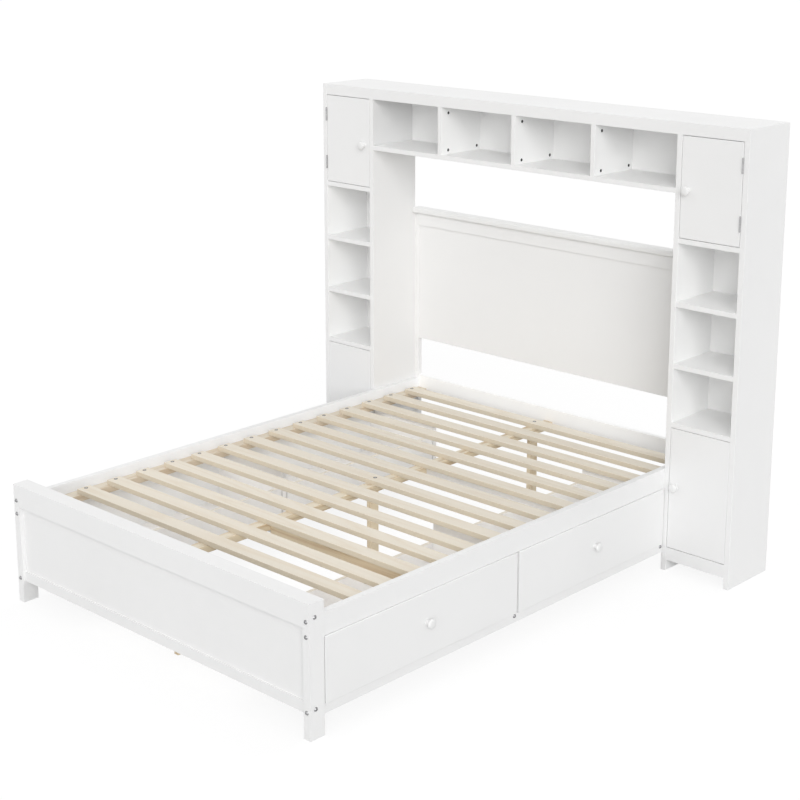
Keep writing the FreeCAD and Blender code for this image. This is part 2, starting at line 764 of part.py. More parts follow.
def upper_doors():
    door = board("upper_door_board", "y", "door_width", "upper_door_height", "door_board",
                 ("door_x", "tower_y", "upper_door_z"))
    pair("upper_door", round_edges(door, "door_rounding", front_edges))
    pair("upper_door_knob", door_knob("upper_knob", "upper_cabinet_floor + upper_knob_height"))
    levels = {
        "low": "upper_door_z + hinge_inset",
        "high": "upper_door_z + upper_door_height - hinge_inset - hinge_height",
    }
    fixed_spans = [("0", "knuckle"), ("2 * knuckle", "knuckle")]
    moving_spans = [("knuckle + knuckle_play", "knuckle - 2 * knuckle_play")]
    fixed, moving, pins = [], [], []
    for name, z in levels.items():
        fixed.append(hinge_leaf(name + "_frame_leaf", "shelf_end_x - hinge_leaf", z, fixed_spans))
        moving.append(hinge_leaf(name + "_door_leaf", "door_end_x", z, moving_spans))
        pins.append(hinge_pin(name + "_pin", z))
    both("hinge_frame_leaves", fixed)
    both("hinge_pins", pins)
    pair("hinge_door_leaves", group("door_leaf_group", moving))


def lower_doors():
    width = "lower_door_end_x - door_x"
    door = board("lower_door_board", "y", width, "lower_door_height", "door_board",
                 ("door_x", "tower_y", "lower_door_z"))
    round_edges(door, "door_rounding", front_edges)
    flange_top = "cabinet_top - pivot_flange"
    low_pin_z = "cabinet_floor + pivot_flange"
    high_pin_z = flange_top + " - pivot_length"
    pivots, bores = [], []
    for name, pin_z, flange_z in (("low", low_pin_z, "cabinet_floor"), ("high", high_pin_z, flange_top)):
        pin = cylinder(name + "_pivot_pin", "pivot_radius", "pivot_length", ("pivot_x", "pivot_y", pin_z))
        flange = cylinder(name + "_pivot_flange", "pivot_flange_radius", "pivot_flange",
                          ("pivot_x", "pivot_y", flange_z))
        pivots.append(fuse(name + "_pivot", [pin, flange]))
    bore_length = "pivot_length + pivot_flange"
    low_bore_z = "cabinet_floor + pin_play"
    high_bore_z = "cabinet_top - pivot_length - pivot_flange - pin_play"
    for name, z in (("low", low_bore_z), ("high", high_bore_z)):
        bores.append(cylinder(name + "_pivot_bore", "pivot_radius + pin_play", bore_length,
                              ("pivot_x", "pivot_y", z)))
    both("lower_door_pivots", pivots)
    pair("lower_door", cut("lower_door_drilled", door, group("pivot_bores", bores)))
    pair("lower_door_knob", door_knob("lower_knob", "cabinet_floor + lower_knob_height"))


def drawer_side(name, y, outside_first):
    """A drawer side: grooved outside for its runner and inside for the drawer's bottom."""
    thick = "drawer_side_board"
    low = "drawer_bottom_lift"
    high = "drawer_bottom_lift + drawer_bottom_board"
    runner_low = "runner_z - box_z - runner_play / 2"
    runner_high = "runner_z - box_z + runner_height + runner_play / 2"
    slot = "runner_reach + runner_play"
    inside = [("0", low), ("groove", low), ("groove", high), ("0", high)]
    outside = [("0", runner_low), (slot, runner_low), (slot, runner_high), ("0", runner_high)]
    near, far = (outside, inside) if outside_first else (inside, outside)
    mirrored_far = [(thick if u == "0" else thick + " - (" + u + ")", v) for u, v in far]
    outline = [("0", "0"), (thick, "0")] + mirrored_far
    outline += [(thick, "drawer_box_height"), ("0", "drawer_box_height")] + near[::-1]
    return extrusion(name, "x", outline, "box_length", ("drawer_back_x", y, "box_z"))


def outer_edges(edge, whole):
    """The edges round a drawer front's outer face."""
    return edge.XMin > whole.Center.x


def drawer(name, front_start, front_end, box_start, box_end):
    front_width = "%s - (%s)" % (front_end, front_start)
    front_at = ("front_x - drawer_front_board", front_start, "opening_z + drawer_gap")
    front = board(name + "_front_board", "x", front_width, "drawer_opening - 2 * drawer_gap",
                  "drawer_front_board", front_at)
    pair(name + "_front", round_edges(front, "front_rounding", outer_edges))

    near = drawer_side(name + "_near_side", box_start, True)
    far = drawer_side(name + "_far_side", box_end + " - drawer_side_board", False)
    inner_width = "%s - (%s) - 2 * drawer_side_board" % (box_end, box_start)
    thick = "drawer_back_board"
    slot = "drawer_back_board - groove"
    low = "drawer_bottom_lift"
    high = "drawer_bottom_lift + drawer_bottom_board"
    outline = [
        ("0", "0"), (thick, "0"), (thick, low), (slot, low), (slot, high), (thick, high),
        (thick, "drawer_box_height"), ("0", "drawer_box_height"),
    ]
    inner_y = box_start + " + drawer_side_board"
    back = extrusion(name + "_back", "y", outline, inner_width, ("drawer_back_x", inner_y, "box_z"))
    bottom_at = ("drawer_back_x + " + slot, inner_y + " - groove", "box_z + drawer_bottom_lift")
    bottom = board(name + "_bottom", "z", "box_length - drawer_back_board + groove",
                   inner_width + " + 2 * groove", "drawer_bottom_board", bottom_at)
    pair(name + "_box", group(name + "_boards", [near, far, back, bottom]))

    middle_y = "(%s + %s) / 2" % (front_start, front_end)
    knob_at = ("front_x", middle_y, "opening_z + drawer_knob_height")
    pair(name + "_knob", knob(name + "_turned_knob", knob_at, (0, 1, 0), 90))


def drawers():
    drawer("foot_drawer", "foot_back_y + drawer_post_gap", "meeting_y - drawer_meeting_gap / 2",
           "foot_back_y + partition_board + runner_gap", "divider_y - runner_gap")
    drawer("head_drawer", "meeting_y + drawer_meeting_gap / 2", "tower_y - drawer_tower_gap",
           "divider_y + partition_board + runner_gap", "tower_y - partition_board - runner_gap")


footboard()
side_rails()
partitions_and_runners()
slat_base()
headboard()
towers_and_bridge()
upper_doors()
lower_doors()
drawers()
doc.recompute()

failed = [item.Label for item in doc.Objects if "Invalid" in item.State or "Error" in item.State]
unsound = [label for label, item in nodes.items() if item.Shape.isNull() or not item.Shape.isValid()]
if failed or unsound:
    raise RuntimeError("failed: %s; unsound: %s" % (failed, unsound))

os.makedirs("parts", exist_ok=True)
for label, item in nodes.items():
    item.Shape.exportStep("parts/%s.step" % label)
    print("%-28s %2d solids %12.0f mm3" % (label, len(item.Shape.Solids), item.Shape.Volume))
print(len(nodes), "sub-parts")
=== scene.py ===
import json
import math

import bmesh
import bpy
from mathutils import Matrix, Vector


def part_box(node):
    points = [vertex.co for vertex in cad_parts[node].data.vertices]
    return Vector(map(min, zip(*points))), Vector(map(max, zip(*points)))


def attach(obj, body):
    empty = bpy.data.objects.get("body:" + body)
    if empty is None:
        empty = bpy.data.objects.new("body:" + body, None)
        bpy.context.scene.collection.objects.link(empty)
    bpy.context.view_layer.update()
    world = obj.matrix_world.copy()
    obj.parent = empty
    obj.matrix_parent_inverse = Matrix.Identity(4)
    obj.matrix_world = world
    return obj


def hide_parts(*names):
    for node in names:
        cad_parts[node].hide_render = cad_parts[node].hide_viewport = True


# A white storage bed with a bookcase headboard: finishes, softened board edges, turned knobs,
# bolts and screws, the stage and the camera. Lengths are in metres, in the frame of the packed
# model, and colours are linear.

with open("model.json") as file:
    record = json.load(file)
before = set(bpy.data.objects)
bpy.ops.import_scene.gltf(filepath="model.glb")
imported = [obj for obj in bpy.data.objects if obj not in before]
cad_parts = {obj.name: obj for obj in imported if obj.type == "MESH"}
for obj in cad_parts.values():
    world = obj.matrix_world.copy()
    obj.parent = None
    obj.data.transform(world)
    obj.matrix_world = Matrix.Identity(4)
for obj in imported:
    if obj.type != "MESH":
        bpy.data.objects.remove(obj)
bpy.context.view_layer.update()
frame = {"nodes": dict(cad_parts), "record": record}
nodes = frame["nodes"]

# White paint, by the place of a board and the way its faces look. Apart from PAINT_WHITE, these
# whites are painted light and shade: lighter whites on faces that lie in shade, darker whites on
# faces and knobs that catch much light
PAINT_WHITE = (0.872, 0.872, 0.87)
# Lighter white for faces inside the shelves: painted light where the cubbies lie in shade
SHELF_PAINTED_LIGHT_WHITE = (0.972, 0.973, 0.969)
# Darker white for tower sides facing the bed: painted shade, where the key lamp lights them
# strongly
BEDWARD_PAINTED_SHADE_WHITE = (0.822, 0.822, 0.82)
# Lighter white for backs and the head rail: painted light where they lie in shade
BACKS_PAINTED_LIGHT_WHITE = (0.985, 0.985, 0.98)
# Lighter, bluer white for the rails' inner faces: painted light against their shade and the warm
# light bounced from the slats
RAIL_PAINTED_LIGHT_WHITE = (0.905, 0.92, 0.945)
# Darker white for the knobs: painted shade that tones down the light they catch
KNOB_PAINTED_SHADE_WHITE = (0.83, 0.83, 0.827)
# Lighter white for the drawer boxes, partitions and head brace: painted light in the slats' shade
DRAWER_PAINTED_LIGHT_WHITE = (0.95, 0.94, 0.93)
# Darker, warmer white on the boxes' upper rims: painted shade against the lamp just above them
DRAWER_RIM_PAINTED_SHADE = (0.74, 0.70, 0.63)
DRAWER_RIM_LEVEL = 0.25
BED_MIDDLE = 0.0
TOWER_MIDDLE = 0.8615
FACING = 0.5
PAINT_DRIFT = 0.975
PAINT_CLOUDS = {"scale": 2.3, "detail": 4}
PAINT_SHEEN = {"scale": 24, "detail": 4}
PAINT_PEEL = {"scale": 480, "detail": 1}
PAINT_SPECULAR = 0.4
PAINT_ROUGHNESS = (0.44, 0.54)
PAINT_RELIEF = {"strength": 0.10, "distance": 0.0003}

# Pine: a stretch is a pair of scales along and across the grain
# Slat edges darker than their faces: partly the sawn edges' own tone, partly painted shade on the
# upright faces
SLAT_FACE = (0.79, 0.73, 0.625, 1)
SLAT_EDGE = (0.68, 0.605, 0.48, 1)
SLAT_RING = (0.70, 0.60, 0.46, 1)
SLAT_RING_SHARE = 0.55
# Ledgers: darker pine tones, painted shade for their place under the slats
LEDGER_FACE_PAINTED_SHADE = (0.72, 0.65, 0.54, 1)
LEDGER_EDGE_PAINTED_SHADE = (0.68, 0.58, 0.45, 1)
BEAM_FACE = (0.79, 0.72, 0.59, 1)
BEAM_EDGE = (0.84, 0.72, 0.53, 1)
BEAM_RING = (0.50, 0.32, 0.15, 1)
BEAM_RING_SHARE = 0.75
AXES_BY_GRAIN = {"x": "XYZ", "y": "YZX", "z": "ZXY"}
BOARD_SHIFT = 9.0
BOARD_TONE = 0.35
RING_STRETCH = (0.55, 7.0)
RING_NOISE = {"scale": 1.0, "detail": 1.0}
RING_DENSITY = 85.0
RING_SHARPNESS = 2.5
FIBRE_STRETCH = (5.0, 420.0)
FIBRE_NOISE = {"scale": 1.0, "detail": 3.0}
FIBRE_TONE = 0.65
PINE_ROUGHNESS = (0.52, 0.66)
PINE_RELIEF = {"strength": 0.25, "distance": 0.0004}

# Metal
BOLT_LOW = (0.24, 0.24, 0.243, 1)
BOLT_HIGH = (0.34, 0.34, 0.345, 1)
# Very dark steel for the divider connectors, also used as painted shade: the flat dark rings round
# the slat screws stand for the shadow in their countersunk holes
DARK_STEEL_AND_SHADE_LOW = (0.045, 0.045, 0.047, 1)
DARK_STEEL_AND_SHADE_HIGH = (0.085, 0.085, 0.09, 1)
STEEL_LOW = (0.36, 0.36, 0.365, 1)
STEEL_HIGH = (0.52, 0.52, 0.525, 1)
ZINC_LOW = (0.46, 0.46, 0.46, 1)
ZINC_HIGH = (0.62, 0.62, 0.62, 1)
BOLT_ROUGHNESS = (0.30, 0.42)
HINGE_ROUGHNESS = (0.34, 0.48)
ZINC_ROUGHNESS = (0.30, 0.44)
METAL_BLOTCHES = {"scale": 160, "detail": 3}
METAL_GRIT = {"scale": 1400, "detail": 2}
METAL_RELIEF = {"strength": 0.12, "distance": 0.0001}

# The part of a noise's range that is stretched over a whole range of values
NOISE_LOW = 0.3
NOISE_HIGH = 0.7

# Sockets of a mix node that mixes colours
MIX_SHARE = 0
MIX_FIRST = 6
MIX_SECOND = 7
MIX_RESULT = 2

# Edges
BOARD_EDGE = 0.0008
DOOR_EDGE = 0.0005
SLAT_ROUND = 0.0016
EDGE_SEGMENTS = 3
EDGE_ANGLE = math.radians(40)
FLAT_ANGLE = math.radians(0.5)
SHARP_ANGLE = math.radians(38)
CORNER_WELD = 1e-5

# Turned knobs
KNOB_FOOT = 0.009
KNOB_FOOT_HEIGHT = 0.001
KNOB_NECK = 0.0065
KNOB_NECK_HEIGHT = 0.0125
KNOB_RIM = 0.016
KNOB_RIM_HEIGHT = 0.0185
KNOB_FLATNESS = 3.0
KNOB_RINGS = 8
KNOB_STEPS = 48

# Bolts and screws
HEAD_STEPS = 48
DOME_RINGS = 5
BOLT_RADIUS = 0.007
BOLT_SEAT = 0.0025
BOLT_HEIGHT = 0.0038
BOLT_CROWN = 0.0038
BOLT_LIP = 0.0004
BOLT_SOCKET = 0.0022
BOLT_SOCKET_DEPTH = 0.0016
SCREW_RADIUS = 0.0046
SCREW_HEIGHT = 0.0009
SCREW_INSET = 0.015
# A flat dark ring under each slat screw: painted shade for its countersunk hole
SHADE_RING_RADIUS = 0.0068
SHADE_RING_HEIGHT = 0.0003
LEG_SLATS = (6, 13)
CROSS_LENGTH = 0.0018
CROSS_WIDTH = 0.0005
RECESS_DEPTH = 0.0006
LEAST_SLOPE = 1e-6
CONNECTOR_RADIUS = 0.0058
CONNECTOR_HEIGHT = 0.0012
CONNECTOR_INSET_FRONT = 0.041
CONNECTOR_INSET_BACK = 0.021
CONNECTOR_UNDER_FASCIA = 0.025
CONNECTOR_OVER_FLOOR = 0.016

# Camera of an image of 800 by 800 pixels, with its angles in degrees
CAMERA_PLACE = (3.907, -4.001, 2.359)
CAMERA_DOWN = 13.73
CAMERA_TURN = 43.39
CAMERA_LENS = 75.285
CAMERA_SHIFT = -0.12

# Stage, with the lamps' softness in degrees
WHITE = (1, 1, 1, 1)
FLOOR_REACH = 400.0
FLOOR_CELLS = 4
FLOOR_BOUNCE = (0.52, 0.52, 0.52, 1)
FLOOR_ROUGHNESS = 0.9
FLOOR_WHITE = (0.97, 0.97, 0.97, 1)
FLOOR_GLOW = 0.86
GLOW_STRENGTH = 1.02
SKY_LIGHT = 0.64
BACKDROP_LIGHT = 1.0
FILL_SIZE = (1.30, 1.62)
FILL_PLACE = (0.0, 0.0, 0.292)
FILL_POWER = 2.7
LAMPS = {
    "key": {"from": (0.68, -0.64, 0.36), "strength": 1.61, "softness": 38},
    "left": {"from": (-0.45, -0.54, 0.71), "strength": 0.15, "softness": 30},
    "back": {"from": (0.0, 0.50, 0.87), "strength": 0.50, "softness": 30},
}


# Shader building

def feed(tree, socket, value):
    """Links another node's output to a socket, or writes a plain value on it."""
    if isinstance(value, bpy.types.NodeSocket):
        tree.links.new(value, socket)
    else:
        socket.default_value = value


def new_material(name):
    """A material with its node tree and its main shader."""
    material = bpy.data.materials.new(name)
    material.use_nodes = True
    tree = material.node_tree
    return material, tree, tree.nodes["Principled BSDF"]


def math_node(tree, operation, *values):
    """The result of an operation on plain values or other nodes' outputs."""
    node = tree.nodes.new("ShaderNodeMath")
    node.operation = operation
    for socket, value in zip(node.inputs, values):
        feed(tree, socket, value)
    return node.outputs["Value"]


def split(tree, vector):
    """The X, Y and Z outputs of a vector."""
    node = tree.nodes.new("ShaderNodeSeparateXYZ")
    feed(tree, node.inputs["Vector"], vector)
    return node.outputs


def noise(tree, place, scale, detail):
    """Soft noise about 0.5."""
    node = tree.nodes.new("ShaderNodeTexNoise")
    feed(tree, node.inputs["Vector"], place)
    node.inputs["Scale"].default_value = scale
    node.inputs["Detail"].default_value = detail
    return node.outputs["Fac"]


def map_range(tree, value, low, high, start=NOISE_LOW, end=NOISE_HIGH):
    """A value moved from the range of start to end to the range of low to high."""
    node = tree.nodes.new("ShaderNodeMapRange")
    feed(tree, node.inputs["Value"], value)
    node.inputs["From Min"].default_value = start
    node.inputs["From Max"].default_value = end
    node.inputs["To Min"].default_value = low
    node.inputs["To Max"].default_value = high
    return node.outputs["Result"]


def mix_colour(tree, share, first, second):
    """A colour between two others."""
    node = tree.nodes.new("ShaderNodeMix")
    node.data_type = "RGBA"
    feed(tree, node.inputs[MIX_SHARE], share)
    feed(tree, node.inputs[MIX_FIRST], first)
    feed(tree, node.inputs[MIX_SECOND], second)
    return node.outputs[MIX_RESULT]


def mix_shader(tree, share, first, second):
    """A shader between two others."""
    node = tree.nodes.new("ShaderNodeMixShader")
    feed(tree, node.inputs[0], share)
    tree.links.new(first, node.inputs[1])
    tree.links.new(second, node.inputs[2])
    return node.outputs["Shader"]


def bump(tree, height, strength, distance):
    """A surface direction roughened by a height."""
    node = tree.nodes.new("ShaderNodeBump")
    feed(tree, node.inputs["Height"], height)
    node.inputs["Strength"].default_value = strength
    node.inputs["Distance"].default_value = distance
    return node.outputs["Normal"]


# Marks, which are 1 on some faces of a board and 0 on its other faces; they choose where painted
# light and shade go

def looking_in(middle):
    """A mark of the faces that look towards the upright planes at X = middle and X = -middle; it
    places painted light and shade.
    """
    def mark(tree, place, facing):
        outward = math_node(tree, "MULTIPLY", facing["X"], math_node(tree, "SIGN", place["X"]))
        beyond = math_node(tree, "SUBTRACT", math_node(tree, "ABSOLUTE", place["X"]), middle)
        away = math_node(tree, "MULTIPLY", outward, math_node(tree, "SIGN", beyond))
        return math_node(tree, "LESS_THAN", away, -FACING)
    return mark


def behind_front(tree, place, facing):
    """Marks the faces of a shelf or divider that lie behind its front edge, where a lighter white
    is painted light in the shaded cubbies.
    """
    return math_node(tree, "LESS_THAN", math_node(tree, "ABSOLUTE", facing["Y"]), FACING)


def on_rim(tree, place, facing):
    """Marks the upper rims of the drawer boxes, where a darker, warmer white is painted shade."""
    upward = math_node(tree, "GREATER_THAN", facing["Z"], FACING)
    high_up = math_node(tree, "GREATER_THAN", place["Z"], DRAWER_RIM_LEVEL)
    return math_node(tree, "MULTIPLY", upward, high_up)


# Materials

def paint_range(white):
    """The darkest and lightest tone of an uneven coat of paint."""
    return (*(channel * PAINT_DRIFT for channel in white), 1), (*white, 1)


def white_paint(name, white, *marked):
    """Sprayed satin paint with a fine orange peel; marked faces get other whites, which are
    painted light and shade.
    """
    material, tree, shader = new_material(name)
    coordinates = tree.nodes.new("ShaderNodeTexCoord")
    place = coordinates.outputs["Object"]
    low, high = paint_range(white)
    for other, mark in marked:
        share = mark(tree, split(tree, place), split(tree, coordinates.outputs["Normal"]))
        other_low, other_high = paint_range(other)
        low = mix_colour(tree, share, low, other_low)
        high = mix_colour(tree, share, high, other_high)
    clouds = map_range(tree, noise(tree, place, **PAINT_CLOUDS), 0, 1)
    sheen = noise(tree, place, **PAINT_SHEEN)
    peel = noise(tree, place, **PAINT_PEEL)
    feed(tree, shader.inputs["Base Color"], mix_colour(tree, clouds, low, high))
    shader.inputs["Specular IOR Level"].default_value = PAINT_SPECULAR
    feed(tree, shader.inputs["Roughness"], map_range(tree, sheen, *PAINT_ROUGHNESS))
    feed(tree, shader.inputs["Normal"], bump(tree, peel, **PAINT_RELIEF))
    return material


def pine(name, along, face, edge, ring, ring_share):
    """Planed pine with its grain along one axis, with one colour on broad faces and another on
    upright faces; where the upright colour is darker it is partly the edges' own tone and partly
    painted shade.
    """
    material, tree, shader = new_material(name)
    coordinates = tree.nodes.new("ShaderNodeTexCoord")
    place = split(tree, coordinates.outputs["Object"])
    length, across, depth = (place[letter] for letter in AXES_BY_GRAIN[along])
    board = tree.nodes.new("ShaderNodeNewGeometry").outputs["Random Per Island"]
    shifted = math_node(tree, "MULTIPLY_ADD", board, BOARD_SHIFT, length)

    def stretched(along_scale, across_scale):
        joined = tree.nodes.new("ShaderNodeCombineXYZ")
        feed(tree, joined.inputs["X"], math_node(tree, "MULTIPLY", shifted, along_scale))
        feed(tree, joined.inputs["Y"], math_node(tree, "MULTIPLY", across, across_scale))
        feed(tree, joined.inputs["Z"], math_node(tree, "MULTIPLY", depth, across_scale))
        return joined.outputs["Vector"]

    field = noise(tree, stretched(*RING_STRETCH), **RING_NOISE)
    wave = math_node(tree, "SINE", math_node(tree, "MULTIPLY", field, RING_DENSITY))
    crest = map_range(tree, wave, 0, 1, start=-1, end=1)
    late_wood = math_node(tree, "POWER", crest, RING_SHARPNESS)
    fibre = noise(tree, stretched(*FIBRE_STRETCH), **FIBRE_NOISE)
    board_tone = math_node(tree, "MULTIPLY", board, BOARD_TONE)
    tone = math_node(tree, "ADD", board_tone, map_range(tree, fibre, 0, FIBRE_TONE))

    # Upright faces take the edge colour; where it is darker, as on slats and ledgers, it is partly
    # painted shade
    broad = math_node(tree, "ABSOLUTE", split(tree, coordinates.outputs["Normal"])["Z"])
    wood = mix_colour(tree, broad, edge, face)
    ring_tone = math_node(tree, "MULTIPLY", late_wood, tone)
    ring_amount = math_node(tree, "MULTIPLY", ring_tone, ring_share)
    feed(tree, shader.inputs["Base Color"], mix_colour(tree, ring_amount, wood, ring))
    feed(tree, shader.inputs["Roughness"], map_range(tree, fibre, *PINE_ROUGHNESS))
    feed(tree, shader.inputs["Normal"], bump(tree, fibre, **PINE_RELIEF))
    return material


def metal(name, low, high, roughness):
    """Plated steel, blotchy at a few millimetres and finely scratched."""
    material, tree, shader = new_material(name)
    place = tree.nodes.new("ShaderNodeTexCoord").outputs["Object"]
    blotches = map_range(tree, noise(tree, place, **METAL_BLOTCHES), 0, 1)
    grit = noise(tree, place, **METAL_GRIT)
    shader.inputs["Metallic"].default_value = 1.0
    feed(tree, shader.inputs["Base Color"], mix_colour(tree, blotches, low, high))
    feed(tree, shader.inputs["Roughness"], map_range(tree, grit, *roughness))
    feed(tree, shader.inputs["Normal"], bump(tree, grit, **METAL_RELIEF))
    return material


# Tower sides: a darker white on faces towards the bed is painted shade, and a lighter white on
# faces towards the shelves is painted light
SIDE_PAINTED_LIGHT_AND_SHADE_MARKS = (
    (BEDWARD_PAINTED_SHADE_WHITE, looking_in(BED_MIDDLE)),
    (SHELF_PAINTED_LIGHT_WHITE, looking_in(TOWER_MIDDLE)),
)
PAINT = white_paint("white_paint_satin", PAINT_WHITE)
# Shelves and dividers: the lighter white behind their front edges is painted light
SHELF_PAINTED_LIGHT_PAINT = white_paint("white_paint_shelves_painted_light", PAINT_WHITE, (SHELF_PAINTED_LIGHT_WHITE, behind_front))
SIDE_PAINTED_LIGHT_AND_SHADE_PAINT = white_paint("white_paint_sides_painted_light_and_shade", PAINT_WHITE, *SIDE_PAINTED_LIGHT_AND_SHADE_MARKS)
# Side rails: the lighter, bluer white on their inner faces is painted light
RAIL_PAINTED_LIGHT_PAINT = white_paint("white_paint_rails_painted_light", PAINT_WHITE, (RAIL_PAINTED_LIGHT_WHITE, looking_in(BED_MIDDLE)))
# Backs, the bridge back and the head rail: a lighter white that is painted light
BACKS_PAINTED_LIGHT_PAINT = white_paint("white_paint_backs_painted_light", BACKS_PAINTED_LIGHT_WHITE)
# Knobs: a darker copy of the white paint, painted shade
KNOB_PAINTED_SHADE_PAINT = white_paint("white_knob_paint_painted_shade", KNOB_PAINTED_SHADE_WHITE)
# Drawer boxes: a lighter white that is painted light, with darker, warmer rims that are painted
# shade
DRAWER_PAINTED_LIGHT_AND_SHADE_PAINT = white_paint("white_drawer_paint_painted_light_and_shade", DRAWER_PAINTED_LIGHT_WHITE, (DRAWER_RIM_PAINTED_SHADE, on_rim))

BEAM_TONES = (BEAM_FACE, BEAM_EDGE, BEAM_RING, BEAM_RING_SHARE)
# Darker pine for the ledgers: painted shade
LEDGER_PAINTED_SHADE_TONES = (LEDGER_FACE_PAINTED_SHADE, LEDGER_EDGE_PAINTED_SHADE, BEAM_RING, BEAM_RING_SHARE)
SLAT_PINE = pine("pine_slats", "x", SLAT_FACE, SLAT_EDGE, SLAT_RING, SLAT_RING_SHARE)
BRACE_PINE = pine("pine_brace", "x", *BEAM_TONES)
BEAM_PINE = pine("pine_lengthwise", "y", *BEAM_TONES)
LEDGER_PINE_PAINTED_SHADE = pine("pine_ledgers_painted_shade", "y", *LEDGER_PAINTED_SHADE_TONES)
LEG_PINE = pine("pine_upright", "z", *BEAM_TONES)

BOLT_STEEL = metal("bolt_steel", BOLT_LOW, BOLT_HIGH, BOLT_ROUGHNESS)
DARK_STEEL_AND_SHADE = metal("dark_steel_and_painted_shade", DARK_STEEL_AND_SHADE_LOW, DARK_STEEL_AND_SHADE_HIGH, BOLT_ROUGHNESS)
HINGE_STEEL = metal("hinge_steel_brushed", STEEL_LOW, STEEL_HIGH, HINGE_ROUGHNESS)
ZINC = metal("screw_zinc", ZINC_LOW, ZINC_HIGH, ZINC_ROUGHNESS)

PINE_NODES = {
    "slats": SLAT_PINE,
    "cross_brace_foot": BRACE_PINE,
    "slat_ledgers": LEDGER_PINE_PAINTED_SHADE,
    "centre_beam": BEAM_PINE,
    "drawer_runners": BRACE_PINE,
    "centre_legs": LEG_PINE,
}
STEEL_WORDS = ("hinge", "pivots", "brackets")
WHITE_WORDS = {
    RAIL_PAINTED_LIGHT_PAINT: ("side_rail_",),
    SIDE_PAINTED_LIGHT_AND_SHADE_PAINT: ("tower_inner_side", "tower_outer_side"),
    SHELF_PAINTED_LIGHT_PAINT: ("shelves", "dividers", "bridge_bottom"),
    BACKS_PAINTED_LIGHT_PAINT: ("backs", "bridge_back", "head_rail"),
    DRAWER_PAINTED_LIGHT_AND_SHADE_PAINT: ("drawer_box", "partitions", "brace_head"),
}
WHITES = (PAINT, *WHITE_WORDS)


def finish_of(name):
    """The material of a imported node."""
    if name in PINE_NODES:
        return PINE_NODES[name]
    if name == "frame_bolts":
        return BOLT_STEEL
    if any(word in name for word in STEEL_WORDS):
        return HINGE_STEEL
    for paint, words in WHITE_WORDS.items():
        if any(word in name for word in words):
            return paint
    return PAINT


def soften(thing, radius):
    """Rounds a board's edges with modifiers that leave its own mesh as it is."""
    weld = thing.modifiers.new("joined_corners", "WELD")
    weld.merge_threshold = CORNER_WELD
    whole = thing.modifiers.new("whole_faces", "DECIMATE")
    whole.decimate_type = "DISSOLVE"
    whole.angle_limit = FLAT_ANGLE
    edge = thing.modifiers.new("soft_edges", "BEVEL")
    edge.width = radius
    edge.segments = EDGE_SEGMENTS
    edge.limit_method = "ANGLE"
    edge.angle_limit = EDGE_ANGLE


for name, thing in nodes.items():
    material = finish_of(name)
    for place in thing.material_slots:
        place.material = material
    is_board = material in WHITES and "knob" not in name and "drawer_box" not in name
    if is_board:
        soften(thing, DOOR_EDGE if "_door_" in name else BOARD_EDGE)
    if name in PINE_NODES:
        soften(thing, SLAT_ROUND)


# Turned pieces

def turned(bm, rings, steps, place):
    """Skins closed rings about a local Z axis; a radius is a number or a function of the angle."""
    loops = []
    for radius, height in rings:
        loop = []
        for step in range(steps):
            angle = math.tau * step / steps
            reach = radius(angle) if callable(radius) else radius
            point = Vector((reach * math.cos(angle), reach * math.sin(angle), height))
            loop.append(bm.verts.new(place @ point))
        loops.append(loop)
    for lower, upper in zip(loops, loops[1:]):
        for step in range(steps):
            after = (step + 1) % steps
            bm.faces.new((lower[step], lower[after], upper[after], upper[step]))
    bm.faces.new(list(reversed(loops[0])))
    bm.faces.new(loops[-1])


def outward_place(base, outward):
    """A matrix whose Z axis points outward from a base point."""
    return Matrix.Translation(base) @ outward.to_track_quat("Z", "Y").to_matrix().to_4x4()


def add_piece(name, bm, material, body):
    """Turns a finished shape into a piece that rides on a body."""
    mesh = bpy.data.meshes.new(name)
    bm.to_mesh(mesh)
    bm.free()
    mesh.materials.append(material)
    mesh.shade_smooth()
    mesh.set_sharp_from_angle(angle=SHARP_ANGLE)
    thing = bpy.data.objects.new(name, mesh)
    bpy.context.scene.collection.objects.link(thing)
    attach(thing, body)
    return thing


def body_of(node):
    """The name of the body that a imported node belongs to."""
    bodies = frame["record"]["behaviour"]["bodies"]
    return next(body for body, members in bodies.items() if node in members)


def solids(node):
    """The boxes of a node's separate solids, in order of their lowest corners."""
    bm = bmesh.new()
    bm.from_mesh(nodes[node].data)
    bmesh.ops.remove_doubles(bm, verts=bm.verts, dist=CORNER_WELD)
    left = set(bm.verts)
    boxes = []
    while left:
        queue = [left.pop()]
        points = []
        while queue:
            vert = queue.pop()
            points.append(vert.co)
            near = {edge.other_vert(vert) for edge in vert.link_edges} & left
            left -= near
            queue.extend(near)
        low = [round(min(point[axis] for point in points), 6) for axis in range(3)]
        high = [round(max(point[axis] for point in points), 6) for axis in range(3)]
        boxes.append((low, high))
    bm.free()
    return [(Vector(low), Vector(high)) for low, high in sorted(boxes)]


def hexagon(apothem):
    """The radius of a hexagon as a function of the angle."""
    sector = math.tau / 6
    return lambda angle: apothem / math.cos(angle % sector - sector / 2)


def cross(length, width):
    """The radius of a cross with straight arms as a function of the angle."""
    def radius(angle):
        run = max(abs(math.cos(angle)), LEAST_SLOPE)
        rise = max(abs(math.sin(angle)), LEAST_SLOPE)
        return max(min(length / run, width / rise), min(width / run, length / rise))
    return radius


# Knobs

